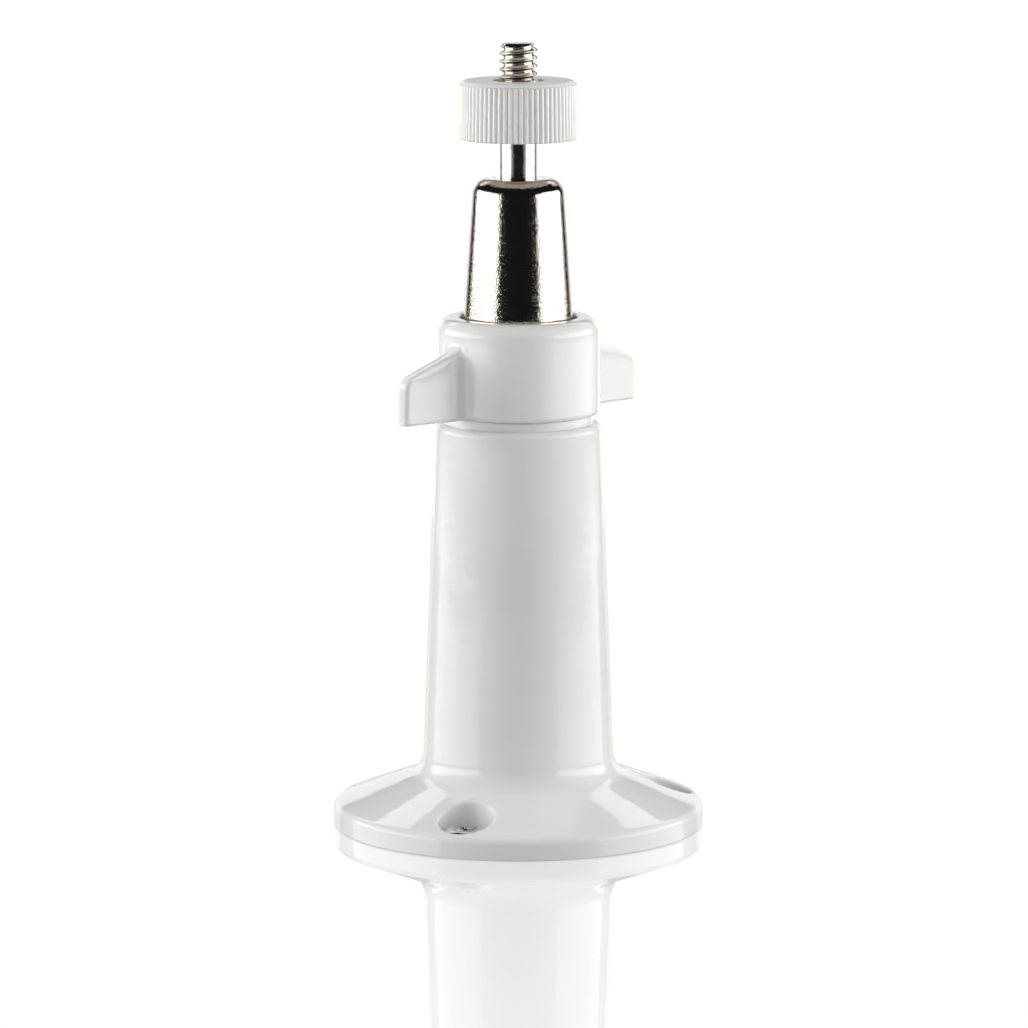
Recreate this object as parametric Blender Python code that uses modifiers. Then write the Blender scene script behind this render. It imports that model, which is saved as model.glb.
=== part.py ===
"""Pedestal ball mount for a small camera, modelled at its real size.

A die-cast foot and column carry a winged clamping collar. The collar pulls a chromed,
slotted bell down over a ball, the ball carries an upright 1/4 inch stud, and a ribbed
lock nut on the stud holds the camera that sits on it.

Frame: metres, +Z up, origin at the middle of the underside of the foot. The bell's slot
opens towards +Y. Run with: blender --background --python part.py
"""

import math

import bmesh
import bpy
from mathutils import Vector

MM = 0.001

# Foot and column
FOOT_RADIUS = 30.0 * MM
FOOT_WALL_HEIGHT = 2.5 * MM
FOOT_EDGE_RADIUS = 1.4 * MM
FOOT_CHAMFER = 0.3 * MM
CONE_SLOPE = math.radians(21.0)
COLUMN_RADIUS = 15.4 * MM
COLUMN_RADIUS_HEIGHT = 12.0 * MM
COLUMN_DRAFT = math.radians(2.12)
COLUMN_TOP = 65.8 * MM
COLUMN_FILLET = 4.2 * MM
SHOULDER_RADIUS = 1.1 * MM

# Neck that the collar screws on to
RELIEF_RADIUS = 12.05 * MM
RELIEF_TOP = 68.6 * MM
NECK_RADIUS = 11.3 * MM
NECK_TOP = 75.0 * MM
NECK_CHAMFER = 0.5 * MM

# Hollow under the foot and in the column
RIM_LAND = 2.4 * MM
CONE_WALL = 2.0 * MM
COLUMN_WALL = 2.5 * MM
HOLLOW_TOP = 62.0 * MM
HOLLOW_ROUNDING = 2.0 * MM

# Screw holes in the foot
SCREW_COUNT = 3
SCREW_PITCH_RADIUS = 24.2 * MM
FIRST_SCREW_AZIMUTH = math.radians(-20.0)
COUNTERBORE_RADIUS = 4.4 * MM
COUNTERBORE_FLOOR = 1.2 * MM
BOSS_RADIUS = 5.6 * MM
SCREW_HOLE_RADIUS = 2.15 * MM
SCREW_SHANK_RADIUS = 1.75 * MM
SCREW_HEAD_RADIUS = 3.75 * MM
SCREW_HEAD_TOP = 3.2 * MM
SCREW_HEAD_EDGE = 0.8 * MM
SCREW_CLEARANCE = 0.3 * MM
CROSS_LENGTH = 3.8 * MM
CROSS_WIDTH = 0.95 * MM
CROSS_DEPTH = 1.1 * MM
CROSS_TURNS = tuple(math.radians(degrees) for degrees in (25.0, 68.0, 10.0))

# Winged collar
COLLAR_RADIUS = 13.2 * MM
COLLAR_BOTTOM = 67.3 * MM
COLLAR_TOP = 82.9 * MM
COLLAR_TOP_RADIUS = 2.2 * MM
COLLAR_FOOT_RADIUS = 0.8 * MM
COLLAR_OPENING_RADIUS = 9.43 * MM
COLLAR_BORE_RADIUS = 11.7 * MM
COLLAR_ENTRY_RADIUS = 12.4 * MM
COLLAR_ENTRY_TOP = 69.0 * MM
COLLAR_ENTRY_CHAMFER = 0.2 * MM
LIP_UNDERSIDE = 80.4 * MM
OPENING_CHAMFER = 0.35 * MM
WING_AZIMUTH = math.radians(-49.5)
WING_TIP_RADIUS = 24.4 * MM
WING_THICKNESS = 2.4 * MM
WING_ROOT_TOP = 78.9 * MM
WING_TIP_TOP = 75.2 * MM
WING_CORNER_RADIUS = 2.0 * MM
WING_EDGE_BEVEL = 0.45 * MM
WING_BEVEL_ANGLE = math.radians(50.0)
WING_EMBED = 0.6 * MM

# Slotted bell
BELL_TOP = 105.2 * MM
BELL_TOP_RADIUS = 7.45 * MM
BELL_SHOULDER_RADIUS = 2.6 * MM
BELL_FOOT_RADIUS = 8.8 * MM
BELL_FOOT_HEIGHT = 84.5 * MM
FLANGE_RADIUS = 11.2 * MM
FLANGE_TOP = 79.0 * MM
FLANGE_BOTTOM = 77.0 * MM
BELL_BORE_FOOT_RADIUS = 7.2 * MM
SLOT_HALF_WIDTH = 3.4 * MM

# Ball, seat and pressure post
BALL_CENTRE = 98.2 * MM
BALL_RADIUS = 6.0 * MM
SEAT_RADIUS = 6.3 * MM
BALL_FLAT = 103.6 * MM
BALL_BORE_RADIUS = 2.3 * MM
BALL_BORE_FLOOR = 95.2 * MM
POST_RADIUS = 5.8 * MM
POST_TOP = 94.3 * MM
POST_CHAMFER = 0.2 * MM
POST_DISC_RADIUS = 9.5 * MM
POST_DISC_BOTTOM = 75.3 * MM
POST_DISC_TOP = 76.3 * MM
SPIGOT_RADIUS = 3.0 * MM
SPIGOT_BOTTOM = 69.5 * MM
SPIGOT_CHAMFER = 0.4 * MM
SPIGOT_HOLE_RADIUS = 3.3 * MM
SPIGOT_HOLE_FLOOR = 69.2 * MM

# Thrust washer between the bell's flange and the collar's lip
WASHER_INNER_RADIUS = 9.1 * MM
WASHER_OUTER_RADIUS = 11.4 * MM
WASHER_BOTTOM = 79.3 * MM
WASHER_TOP = 80.1 * MM

# Stud
TAIL_RADIUS = 2.0 * MM
TAIL_BOTTOM = 95.5 * MM
SHANK_BOTTOM = 103.9 * MM
SHANK_RADIUS = 2.98 * MM
THREAD_BOTTOM = 111.9 * MM
THREAD_RADIUS = 3.1 * MM
STUD_TOP = 126.8 * MM
STUD_CHAMFER = 0.8 * MM

# Lock nut and its threaded insert
NUT_BOTTOM = 111.45 * MM
NUT_TOP = 120.85 * MM
NUT_FOOT_RADIUS = 9.6 * MM
NUT_HEAD_RADIUS = 9.4 * MM
NUT_EDGE_RADIUS = 0.8 * MM
NUT_RIBS = 68
RIB_DEPTH = 0.28 * MM
NUT_HOLE_RADIUS = 3.4 * MM
POCKET_RADIUS = 4.7 * MM
POCKET_FLOOR = 111.95 * MM
INSERT_RADIUS = 4.4 * MM
INSERT_BORE_RADIUS = 3.4 * MM
INSERT_BOTTOM = 112.25 * MM
INSERT_TOP = 120.2 * MM

TURNED_STEPS = 48
SMALL_STEPS = 32
SCREW_STEPS = 24
HOLE_STEPS = 16
ARC_STEPS = 5
MERGE = 0.00001
PAST = 1.0 * MM
PIVOT_SIZE = 8.0 * MM

FINISHES = {
    "white_enamel": ((0.82, 0.82, 0.80), 0.28, 0.0),
    "bright_chrome": ((0.78, 0.77, 0.75), 0.12, 1.0),
    "white_plastic": ((0.80, 0.80, 0.78), 0.45, 0.0),
    "nickel_steel": ((0.72, 0.70, 0.66), 0.16, 1.0),
    "zinc_steel": ((0.76, 0.76, 0.77), 0.20, 1.0),
    "brass": ((0.78, 0.60, 0.30), 0.25, 1.0),
    "acetal": ((0.70, 0.70, 0.68), 0.50, 0.0),
}


def clear_scene():
    """Removes every object, so that the file holds only this mount."""
    for item in list(bpy.data.objects):
        bpy.data.objects.remove(item, do_unlink=True)


def new_collection(name):
    """Adds a collection to the scene."""
    group = bpy.data.collections.new(name)
    bpy.context.scene.collection.children.link(group)
    return group


def material_for(node, finish):
    """Gives a node its own Principled material in one of the finishes."""
    colour, roughness, metallic = FINISHES[finish]
    made = bpy.data.materials.new(f"{node}_{finish}")
    made.use_nodes = True
    shader = made.node_tree.nodes["Principled BSDF"]
    shader.inputs["Base Color"].default_value = (*colour, 1.0)
    shader.inputs["Roughness"].default_value = roughness
    shader.inputs["Metallic"].default_value = metallic
    return made


def add_object(name, mesh, origin=(0.0, 0.0, 0.0), finish=None):
    """Links a mesh as a part when it has a finish, and as a hidden cutter when it has none."""
    made = bpy.data.objects.new(name, mesh)
    made.location = origin
    if finish:
        parts.objects.link(made)
        mesh.materials.append(material_for(name, finish))
    else:
        cutters.objects.link(made)
        made.hide_render = True
        made.display_type = "WIRE"
    return made


def arc(centre, radius, start, end, steps=ARC_STEPS):
    """Points of an arc in the profile plane; angles in degrees, 0 outwards and 90 up."""
    angles = [math.radians(start + (end - start) * step / steps) for step in range(steps + 1)]
    return [(centre[0] + radius * math.cos(a), centre[1] + radius * math.sin(a)) for a in angles]


def turned(name, profile, finish=None, origin_height=0.0, steps=TURNED_STEPS, ring=False):
    """Turns a profile of (radius, height) points, listed down its outer side, about Z."""
    mesh = bpy.data.meshes.new(name)
    points = [(radius, 0.0, height - origin_height) for radius, height in profile]
    edges = [(index, index + 1) for index in range(len(points) - 1)]
    if ring:
        edges.append((len(points) - 1, 0))
    mesh.from_pydata(points, edges, [])
    made = add_object(name, mesh, (0.0, 0.0, origin_height), finish)
    screw = made.modifiers.new("turn", "SCREW")
    screw.axis = "Z"
    screw.angle = math.tau
    screw.steps = steps
    screw.render_steps = steps
    screw.use_merge_vertices = True
    screw.merge_threshold = MERGE
    screw.use_smooth_shade = True
    return made


def round_cutter(name, radius, bottom, top, x=0.0, y=0.0, steps=SMALL_STEPS):
    """A hidden upright cylinder."""
    mesh = bpy.data.meshes.new(name)
    build = bmesh.new()
    bmesh.ops.create_cone(build, cap_ends=True, segments=steps, radius1=radius, radius2=radius,
                          depth=top - bottom)
    build.to_mesh(mesh)
    build.free()
    return add_object(name, mesh, (x, y, (bottom + top) / 2))


def block_mesh(name, size):
    """A box centred on its own origin."""
    mesh = bpy.data.meshes.new(name)
    build = bmesh.new()
    bmesh.ops.create_cube(build, size=1.0)
    bmesh.ops.scale(build, vec=Vector(size), verts=build.verts)
    build.to_mesh(mesh)
    build.free()
    return mesh


def combine(target, other, operation="DIFFERENCE"):
    """Adds an exact Boolean of a hidden object to a part or to another cutter."""
    step = target.modifiers.new(f"{operation.lower()}_{other.name}", "BOOLEAN")
    step.operation = operation
    step.solver = "EXACT"
    step.object = other


def pivot(name, location, parent=None):
    """An empty on a joint's axis."""
    made = bpy.data.objects.new(name, None)
    made.empty_display_size = PIVOT_SIZE
    made.location = location
    parts.objects.link(made)
    if parent:
        hang(made, parent)
    return made


def hang(child, parent):
    """Parents a piece and keeps it where it stands."""
    bpy.context.view_layer.update()
    child.location = Vector(child.location) - parent.matrix_world.translation
    child.parent = parent


def screw_place(index):
    """The middle of a screw hole; azimuths run from -Y towards +X."""
    azimuth = FIRST_SCREW_AZIMUTH + math.tau * index / SCREW_COUNT
    return SCREW_PITCH_RADIUS * math.sin(azimuth), -SCREW_PITCH_RADIUS * math.cos(azimuth)


def column_radius(height):
    """The drafted column's outer radius at a height."""
    return COLUMN_RADIUS - (height - COLUMN_RADIUS_HEIGHT) * math.tan(COLUMN_DRAFT)


def cone_start():
    """Where the foot's rounded edge meets its cone."""
    up = math.pi / 2 - CONE_SLOPE
    radius = FOOT_RADIUS - FOOT_EDGE_RADIUS + FOOT_EDGE_RADIUS * math.cos(up)
    return radius, FOOT_WALL_HEIGHT + FOOT_EDGE_RADIUS * math.sin(up)


def column_fillet_centre():
    """Centre of the fillet that touches both the cone and the column."""
    start_radius, start_height = cone_start()
    sin_cone, cos_cone = math.sin(CONE_SLOPE), math.cos(CONE_SLOPE)
    sin_draft, cos_draft = math.sin(COLUMN_DRAFT), math.cos(COLUMN_DRAFT)
    cone = start_radius * sin_cone + start_height * cos_cone + COLUMN_FILLET
    column = COLUMN_RADIUS * cos_draft + COLUMN_RADIUS_HEIGHT * sin_draft + COLUMN_FILLET
    crossing = sin_cone * sin_draft - cos_cone * cos_draft
    radius = (cone * sin_draft - column * cos_cone) / crossing
    return radius, (sin_cone * column - cos_draft * cone) / crossing


def pedestal_profile():
    """Outside of the casting, from the middle of the neck's top down to the middle of the underside."""
    slope = math.degrees(CONE_SLOPE)
    draft = math.degrees(COLUMN_DRAFT)
    shoulder = column_radius(COLUMN_TOP) - SHOULDER_RADIUS
    points = [(0.0, NECK_TOP), (NECK_RADIUS - NECK_CHAMFER, NECK_TOP)]
    points += [(NECK_RADIUS, NECK_TOP - NECK_CHAMFER), (NECK_RADIUS, RELIEF_TOP)]
    points += [(RELIEF_RADIUS, RELIEF_TOP), (RELIEF_RADIUS, COLUMN_TOP)]
    points += arc((shoulder, COLUMN_TOP - SHOULDER_RADIUS), SHOULDER_RADIUS, 90.0, draft)
    points += arc(column_fillet_centre(), COLUMN_FILLET, 180.0 + draft, 270.0 - slope)
    edge_centre = (FOOT_RADIUS - FOOT_EDGE_RADIUS, FOOT_WALL_HEIGHT)
    points += arc(edge_centre, FOOT_EDGE_RADIUS, 90.0 - slope, 0.0)
    points += [(FOOT_RADIUS, FOOT_CHAMFER), (FOOT_RADIUS - FOOT_CHAMFER, 0.0), (0.0, 0.0)]
    return points


def hollow_profile():
    """The core that forms the hollow, from its closed top down past the underside."""
    start_radius, start_height = cone_start()
    drop = CONE_WALL / math.cos(CONE_SLOPE)
    rim = FOOT_RADIUS - RIM_LAND
    knee_radius = column_radius(COLUMN_RADIUS_HEIGHT) - COLUMN_WALL
    spread_radius = knee_radius + HOLLOW_ROUNDING
    top_radius = column_radius(HOLLOW_TOP) - COLUMN_WALL

    def ceiling(radius):
        return start_height + (start_radius - radius) * math.tan(CONE_SLOPE) - drop

    points = [(0.0, HOLLOW_TOP)]
    top_edge = (top_radius - HOLLOW_ROUNDING, HOLLOW_TOP - HOLLOW_ROUNDING)
    points += arc(top_edge, HOLLOW_ROUNDING, 90.0, 0.0, 3)
    points += [(knee_radius, COLUMN_RADIUS_HEIGHT)]
    points += [(knee_radius + HOLLOW_ROUNDING / 2, ceiling(spread_radius))]
    points += [(spread_radius, ceiling(spread_radius)), (rim, ceiling(rim))]
    points += [(rim, -PAST), (0.0, -PAST)]
    return points


def build_pedestal():
    """The casting: foot, column and neck in one, hollow from below, with three counterbored holes."""
    pedestal = turned("pedestal", pedestal_profile(), "white_enamel")
    hollow = turned("hollow_core", hollow_profile())
    for index in range(SCREW_COUNT):
        x, y = screw_place(index)
        boss = round_cutter(f"boss_{index + 1}", BOSS_RADIUS, -2 * PAST, COLUMN_RADIUS_HEIGHT, x, y)
        combine(hollow, boss)
    combine(pedestal, hollow)
    for index in range(SCREW_COUNT):
        x, y = screw_place(index)
        counterbore = round_cutter(f"counterbore_{index + 1}", COUNTERBORE_RADIUS, COUNTERBORE_FLOOR,
                                   COLUMN_RADIUS_HEIGHT, x, y)
        hole = round_cutter(f"screw_hole_{index + 1}", SCREW_HOLE_RADIUS, -PAST, COUNTERBORE_FLOOR + PAST,
                            x, y, HOLE_STEPS)
        combine(pedestal, counterbore)
        combine(pedestal, hole)
    spigot_hole = round_cutter("spigot_hole", SPIGOT_HOLE_RADIUS, SPIGOT_HOLE_FLOOR, NECK_TOP + PAST)
    combine(pedestal, spigot_hole)
    return pedestal


def build_mounting_screw(index):
    """A pan-head screw with a cross recess, down in its counterbore."""
    name = f"mounting_screw_{index + 1}"
    x, y = screw_place(index)
    seat = COUNTERBORE_FLOOR + SCREW_CLEARANCE
    edge = (SCREW_HEAD_RADIUS - SCREW_HEAD_EDGE, SCREW_HEAD_TOP - SCREW_HEAD_EDGE)
    profile = [(0.0, SCREW_HEAD_TOP)] + arc(edge, SCREW_HEAD_EDGE, 90.0, 0.0, 3)
    profile += [(SCREW_HEAD_RADIUS, seat), (SCREW_SHANK_RADIUS, seat)]
    profile += [(SCREW_SHANK_RADIUS, SCREW_CLEARANCE), (0.0, SCREW_CLEARANCE)]
    screw = turned(name, profile, "zinc_steel", steps=SCREW_STEPS)
    screw.location = (x, y, 0.0)
    arms = []
    for arm, size in enumerate(((CROSS_LENGTH, CROSS_WIDTH), (CROSS_WIDTH, CROSS_LENGTH))):
        label = f"cross_{index + 1}_{arm + 1}"
        block = block_mesh(label, (*size, 2 * CROSS_DEPTH))
        blade = add_object(label, block, (x, y, SCREW_HEAD_TOP))
        blade.rotation_euler.z = CROSS_TURNS[index]
        arms.append(blade)
    combine(arms[0], arms[1], "UNION")
    combine(screw, arms[0])
    return screw


def wing_blank(name, azimuth):
    """One flat wing, standing out from the collar at an azimuth, with rounded edges."""
    root = COLLAR_BORE_RADIUS + WING_EMBED
    corner = (WING_TIP_RADIUS - WING_CORNER_RADIUS, WING_TIP_TOP - WING_CORNER_RADIUS)
    outline = [(root, COLLAR_BOTTOM), (WING_TIP_RADIUS, COLLAR_BOTTOM)]
    outline += arc(corner, WING_CORNER_RADIUS, 0.0, 70.0, 4)
    outline += [(root, WING_ROOT_TOP)]
    mesh = bpy.data.meshes.new(name)
    build = bmesh.new()
    corners = [build.verts.new((radius, -WING_THICKNESS / 2, height)) for radius, height in outline]
    face = build.faces.new(corners)
    solid = bmesh.ops.extrude_face_region(build, geom=[face])
    moved = [item for item in solid["geom"] if isinstance(item, bmesh.types.BMVert)]
    bmesh.ops.translate(build, vec=(0.0, WING_THICKNESS, 0.0), verts=moved)
    bmesh.ops.recalc_face_normals(build, faces=build.faces)
    build.to_mesh(mesh)
    build.free()
    wing = add_object(name, mesh)
    wing.rotation_euler.z = azimuth - math.pi / 2
    bevel = wing.modifiers.new("edges", "BEVEL")
    bevel.width = WING_EDGE_BEVEL
    bevel.segments = 2
    bevel.limit_method = "ANGLE"
    bevel.angle_limit = WING_BEVEL_ANGLE
    return wing


def build_wing_collar():
    """The clamping collar: an inward lip on top, a thread zone inside and two wings to turn it by."""
    top_edge = (COLLAR_RADIUS - COLLAR_TOP_RADIUS, COLLAR_TOP - COLLAR_TOP_RADIUS)
    foot_edge = (COLLAR_RADIUS - COLLAR_FOOT_RADIUS, COLLAR_BOTTOM + COLLAR_FOOT_RADIUS)
    profile = [(COLLAR_OPENING_RADIUS, COLLAR_TOP - OPENING_CHAMFER)]
    profile += [(COLLAR_OPENING_RADIUS + OPENING_CHAMFER, COLLAR_TOP)]
    profile += arc(top_edge, COLLAR_TOP_RADIUS, 90.0, 0.0)
    profile += arc(foot_edge, COLLAR_FOOT_RADIUS, 0.0, -90.0, 3)[:-1]
    profile += [(COLLAR_ENTRY_RADIUS + COLLAR_ENTRY_CHAMFER, COLLAR_BOTTOM)]
    profile += [(COLLAR_ENTRY_RADIUS, COLLAR_BOTTOM + COLLAR_ENTRY_CHAMFER)]
    profile += [(COLLAR_ENTRY_RADIUS, COLLAR_ENTRY_TOP), (COLLAR_BORE_RADIUS, COLLAR_ENTRY_TOP)]
    profile += [(COLLAR_BORE_RADIUS, LIP_UNDERSIDE), (COLLAR_OPENING_RADIUS, LIP_UNDERSIDE)]
    collar = turned("wing_collar", profile, "white_enamel", ring=True)
    for index in range(2):
        combine(collar, wing_blank(f"wing_{index + 1}", WING_AZIMUTH + math.pi * index), "UNION")
    return collar


def bell_profile():
    """The bell's outside with its flange, then its bore and spherical seat, closed at the top."""
    shoulder = (BELL_TOP_RADIUS - BELL_SHOULDER_RADIUS, BELL_TOP - BELL_SHOULDER_RADIUS)
    points = [(0.0, BELL_TOP)] + arc(shoulder, BELL_SHOULDER_RADIUS, 90.0, 4.0, 6)
    points += [(BELL_FOOT_RADIUS, BELL_FOOT_HEIGHT), (BELL_FOOT_RADIUS, FLANGE_TOP)]
    points += [(FLANGE_RADIUS, FLANGE_TOP), (FLANGE_RADIUS, FLANGE_BOTTOM)]
    points += [(BELL_BORE_FOOT_RADIUS, FLANGE_BOTTOM)]
    points += arc((0.0, BALL_CENTRE), SEAT_RADIUS, 0.0, 90.0, 8)
    return points


def build_swivel_bell():
    """The chromed bell, with a slot that runs from its top hole down one side to the ball's centre."""
    bell = turned("swivel_bell", bell_profile(), "bright_chrome")
    reach = 2 * BELL_TOP_RADIUS
    top = BELL_TOP + PAST
    upright = round_cutter("stud_hole", SLOT_HALF_WIDTH, BALL_CENTRE, top)
    block = block_mesh("slot_block", (2 * SLOT_HALF_WIDTH, reach, top - BALL_CENTRE))
    slot = add_object("slot_block", block, (0.0, reach / 2, (top + BALL_CENTRE) / 2))
    end = round_cutter("slot_end", SLOT_HALF_WIDTH, 0.0, reach)
    end.rotation_euler.x = math.pi / 2
    end.location = (0.0, reach / 2, BALL_CENTRE)
    combine(slot, upright, "UNION")
    combine(slot, end, "UNION")
    combine(bell, slot)
    return bell


def build_pressure_post():
    """The post that stands in the neck and holds the ball up against the bell."""
    cup_edge = math.degrees(math.asin((POST_TOP - BALL_CENTRE) / SEAT_RADIUS))
    profile = arc((0.0, BALL_CENTRE), SEAT_RADIUS, -90.0, cup_edge)
    profile += [(POST_RADIUS - POST_CHAMFER, POST_TOP), (POST_RADIUS, POST_TOP - POST_CHAMFER)]
    profile += [(POST_RADIUS, POST_DISC_TOP), (POST_DISC_RADIUS, POST_DISC_TOP)]
    profile += [(POST_DISC_RADIUS, POST_DISC_BOTTOM), (SPIGOT_RADIUS, POST_DISC_BOTTOM)]
    profile += [(SPIGOT_RADIUS, SPIGOT_BOTTOM + SPIGOT_CHAMFER)]
    profile += [(SPIGOT_RADIUS - SPIGOT_CHAMFER, SPIGOT_BOTTOM), (0.0, SPIGOT_BOTTOM)]
    return turned("pressure_post", profile, "acetal", steps=SMALL_STEPS)


def build_thrust_washer():
    """The washer that lets the collar's lip turn against the bell's flange."""
    profile = [(WASHER_OUTER_RADIUS, WASHER_TOP), (WASHER_OUTER_RADIUS, WASHER_BOTTOM)]
    profile += [(WASHER_INNER_RADIUS, WASHER_BOTTOM), (WASHER_INNER_RADIUS, WASHER_TOP)]
    return turned("thrust_washer", profile, "acetal", ring=True)


def build_pivot_ball():
    """The ball, with a flat on top and a blind bore for the stud's tail."""
    flat_angle = math.degrees(math.asin((BALL_FLAT - BALL_CENTRE) / BALL_RADIUS))
    profile = [(0.0, BALL_BORE_FLOOR), (BALL_BORE_RADIUS, BALL_BORE_FLOOR), (BALL_BORE_RADIUS, BALL_FLAT)]
    profile += arc((0.0, BALL_CENTRE), BALL_RADIUS, flat_angle, -90.0, 12)
    return turned("pivot_ball", profile, "nickel_steel", BALL_CENTRE, SMALL_STEPS)


def build_camera_stud():
    """The stud: tail in the ball, smooth shank through the bell, thread for the nut and the camera."""
    profile = [(0.0, STUD_TOP), (THREAD_RADIUS - STUD_CHAMFER, STUD_TOP)]
    profile += [(THREAD_RADIUS, STUD_TOP - STUD_CHAMFER), (THREAD_RADIUS, THREAD_BOTTOM)]
    profile += [(SHANK_RADIUS, THREAD_BOTTOM), (SHANK_RADIUS, SHANK_BOTTOM)]
    profile += [(TAIL_RADIUS, SHANK_BOTTOM), (TAIL_RADIUS, TAIL_BOTTOM), (0.0, TAIL_BOTTOM)]
    return turned("camera_stud", profile, "nickel_steel", BALL_CENTRE, SMALL_STEPS)


def build_lock_nut():
    """The thumb nut: a ribbed, slightly tapered barrel with a rounded top edge and a pocket."""
    height = NUT_TOP - NUT_BOTTOM
    mesh = bpy.data.meshes.new("lock_nut")
    build = bmesh.new()
    bmesh.ops.create_cone(build, cap_ends=True, segments=2 * NUT_RIBS, radius1=NUT_FOOT_RADIUS,
                          radius2=NUT_HEAD_RADIUS, depth=height)
    for vertex in build.verts:
        step = round(math.atan2(vertex.co.y, vertex.co.x) / (math.pi / NUT_RIBS))
        if step % 2:
            radius = vertex.co.xy.length
            vertex.co.xy *= (radius - RIB_DEPTH) / radius
    build.to_mesh(mesh)
    build.free()
    nut = add_object("lock_nut", mesh, (0.0, 0.0, (NUT_BOTTOM + NUT_TOP) / 2), "white_plastic")
    edge = (NUT_HEAD_RADIUS - NUT_EDGE_RADIUS, NUT_TOP - NUT_EDGE_RADIUS - MERGE)
    envelope = [(0.0, NUT_TOP - MERGE)] + arc(edge, NUT_EDGE_RADIUS, 90.0, 20.0, 3)
    envelope += [(NUT_FOOT_RADIUS + PAST, NUT_TOP - 2 * NUT_EDGE_RADIUS)]
    envelope += [(NUT_FOOT_RADIUS + PAST, NUT_BOTTOM - PAST), (0.0, NUT_BOTTOM - PAST)]
    combine(nut, turned("nut_envelope", envelope), "INTERSECT")
    combine(nut, round_cutter("nut_hole", NUT_HOLE_RADIUS, NUT_BOTTOM - PAST, NUT_TOP))
    combine(nut, round_cutter("nut_pocket", POCKET_RADIUS, POCKET_FLOOR, NUT_TOP + PAST))
    return nut


def build_lock_nut_insert():
    """The threaded bush inside the lock nut."""
    profile = [(INSERT_RADIUS, INSERT_TOP), (INSERT_RADIUS, INSERT_BOTTOM)]
    profile += [(INSERT_BORE_RADIUS, INSERT_BOTTOM), (INSERT_BORE_RADIUS, INSERT_TOP)]
    return turned("lock_nut_insert", profile, "brass", BALL_CENTRE, SMALL_STEPS, ring=True)


clear_scene()
parts = new_collection("camera_pedestal_mount")
cutters = new_collection("cutters")

build_pedestal()
for number in range(SCREW_COUNT):
    build_mounting_screw(number)
build_pressure_post()

collar_axis = pivot("collar_axis", (0.0, 0.0, COLLAR_BOTTOM))
hang(build_thrust_washer(), collar_axis)
hang(build_wing_collar(), collar_axis)

bell_axis = pivot("bell_axis", (0.0, 0.0, FLANGE_BOTTOM))
hang(build_swivel_bell(), bell_axis)

ball_pivot = pivot("ball_pivot", (0.0, 0.0, BALL_CENTRE), bell_axis)
for piece in (build_pivot_ball(), build_camera_stud(), build_lock_nut_insert(), build_lock_nut()):
    hang(piece, ball_pivot)
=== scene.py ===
"""Looks of a pedestal ball mount for a small camera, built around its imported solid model.

The casting, the winged collar, the chromed bell, the stud and the ribbed lock nut are each
modelled again at full detail, in metres and in the place of their solid, and get an enamel,
plating, brass or moulded finish. Run it as a script; it is laid out as an add-on.
"""

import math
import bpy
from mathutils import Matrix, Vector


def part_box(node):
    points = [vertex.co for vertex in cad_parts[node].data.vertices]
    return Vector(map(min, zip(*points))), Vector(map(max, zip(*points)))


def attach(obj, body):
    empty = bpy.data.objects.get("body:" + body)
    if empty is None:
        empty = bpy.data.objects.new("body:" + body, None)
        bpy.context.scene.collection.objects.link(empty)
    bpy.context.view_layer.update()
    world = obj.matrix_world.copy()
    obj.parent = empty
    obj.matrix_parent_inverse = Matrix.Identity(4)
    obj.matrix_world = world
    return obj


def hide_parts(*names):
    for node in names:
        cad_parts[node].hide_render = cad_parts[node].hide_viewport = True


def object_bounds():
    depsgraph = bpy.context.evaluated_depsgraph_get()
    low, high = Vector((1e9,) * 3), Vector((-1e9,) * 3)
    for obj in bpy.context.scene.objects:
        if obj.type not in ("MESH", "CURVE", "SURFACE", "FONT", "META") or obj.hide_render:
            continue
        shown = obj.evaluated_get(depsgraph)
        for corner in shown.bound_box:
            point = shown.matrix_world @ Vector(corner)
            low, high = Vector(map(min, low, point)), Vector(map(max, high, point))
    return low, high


bl_info = {
    "name": "Camera Pedestal Mount",
    "version": (1, 0, 0),
    "blender": (4, 5, 0),
    "location": "View3D > Sidebar > Camera Mount",
    "description": "Builds a pedestal ball mount for a small camera, with its finishes and a studio",
    "category": "Object",
}

import bmesh
import bpy
from bpy.props import FloatProperty, FloatVectorProperty, IntProperty, PointerProperty
from mathutils import Matrix, Vector

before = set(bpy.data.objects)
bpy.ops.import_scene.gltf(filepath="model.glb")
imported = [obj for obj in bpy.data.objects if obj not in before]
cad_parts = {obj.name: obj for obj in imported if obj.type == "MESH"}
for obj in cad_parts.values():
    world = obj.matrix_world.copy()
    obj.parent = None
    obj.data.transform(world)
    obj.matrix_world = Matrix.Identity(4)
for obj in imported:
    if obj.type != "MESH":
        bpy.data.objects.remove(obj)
SOLID_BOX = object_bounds()

MM = 0.001
WHITE = (1.0, 1.0, 1.0, 1.0)

ROUND_STEP = math.radians(9.0)  # turn from one point of a rounding to the next
SHARP = 40.0  # degrees: edges that turn more than this are shaded as edges
WELD = 0.0005 * MM  # points closer than this become one
PAST = 1.0 * MM  # how far a cutter stands out of what it cuts
NECK_THREAD = 0.8 * MM  # height of the neck's thread over its core
ARM_TAPER = 0.62  # size of a driver recess at its bottom, as a share of its top

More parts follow.
